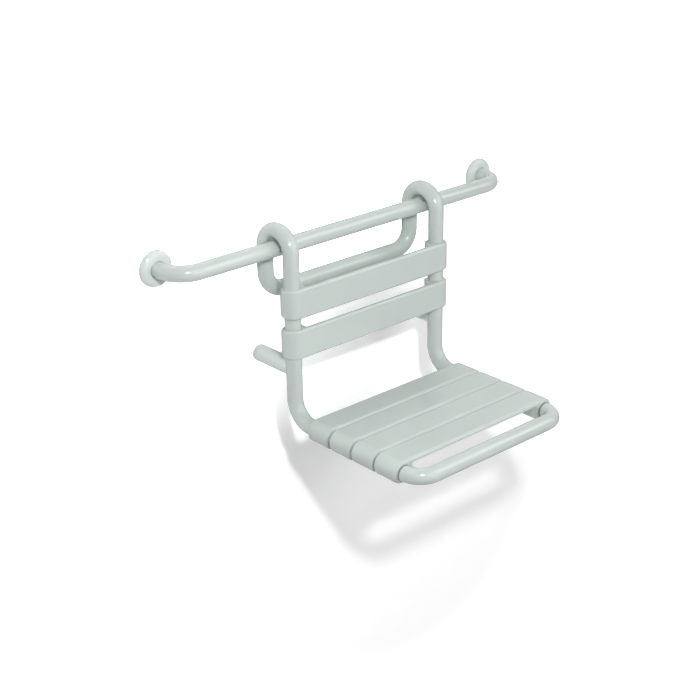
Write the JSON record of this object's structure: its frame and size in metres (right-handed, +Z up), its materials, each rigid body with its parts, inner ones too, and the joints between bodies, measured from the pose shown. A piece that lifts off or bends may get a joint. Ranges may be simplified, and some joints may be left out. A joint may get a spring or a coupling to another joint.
{
  "type": "hook-in shower seat",
  "caption": "Slatted shower seat and backrest on a bent tube frame that hooks over a wall rail, slides along it, lifts off, and leans on the wall through stubs.",
  "frame": {"origin": "on the wall surface, midway between the rail's ends, level with the rail's axis", "axes": "+X along the rail to the right seen from the room, +Y into the wall, +Z up; the seat reaches to -Y"},
  "size_m": [0.92, 0.4715, 0.4188],
  "materials": {
    "nylon": "smooth glossy light grey-green moulded nylon",
    "core_steel": "plain steel tube and plate, hidden",
    "screw_steel": "bright stainless screws and nuts",
    "liner": "matt mid-grey slide plastic",
    "buffer": "matt light grey elastomer"
  },
  "bodies": {
    "rail": {"rail_tube": "nylon", "rail_core": "core_steel", "wall_flange_left": "core_steel", "wall_flange_right": "core_steel"},
    "rosette_left": {"rosette_left": "nylon"},
    "rosette_right": {"rosette_right": "nylon"},
    "liners": {"hook_liner_left": "liner", "hook_liner_right": "liner"},
    "seat": {"front_bar_tube": "nylon", "rear_bar_tube": "nylon", "hook_tube_left": "nylon", "hook_tube_right": "nylon", "side_tube_left": "nylon", "side_tube_right": "nylon", "stub_left": "nylon", "stub_right": "nylon", "seat_slat_1": "nylon", "seat_slat_2": "nylon", "seat_slat_3": "nylon", "seat_slat_4": "nylon", "back_slat_upper": "nylon", "back_slat_lower": "nylon", "front_bar_core": "core_steel", "rear_bar_core": "core_steel", "core_spigots": "core_steel", "hook_core_left": "core_steel", "hook_core_right": "core_steel", "side_core_left": "core_steel", "side_core_right": "core_steel", "slat_screws": "screw_steel", "stub_screws": "screw_steel", "rivet_nuts": "screw_steel", "buffer_left": "buffer", "buffer_right": "buffer"}
  },
  "joints": [
    {"name": "seat_slide", "type": "slide", "parent": "rail", "child": "liners", "axis": [1, 0, 0], "range_m": [-0.16, 0.16]},
    {"name": "seat_lift", "type": "slide", "parent": "liners", "child": "seat", "axis": [0, 0, 1], "range_m": [0, 0.14]},
    {"name": "rosette_left_pull", "type": "slide", "parent": "rail", "child": "rosette_left", "axis": [0, -1, 0], "range_m": [0, 0.012]},
    {"name": "rosette_right_pull", "type": "slide", "parent": "rail", "child": "rosette_right", "axis": [0, -1, 0], "range_m": [0, 0.012]}
  ]
}
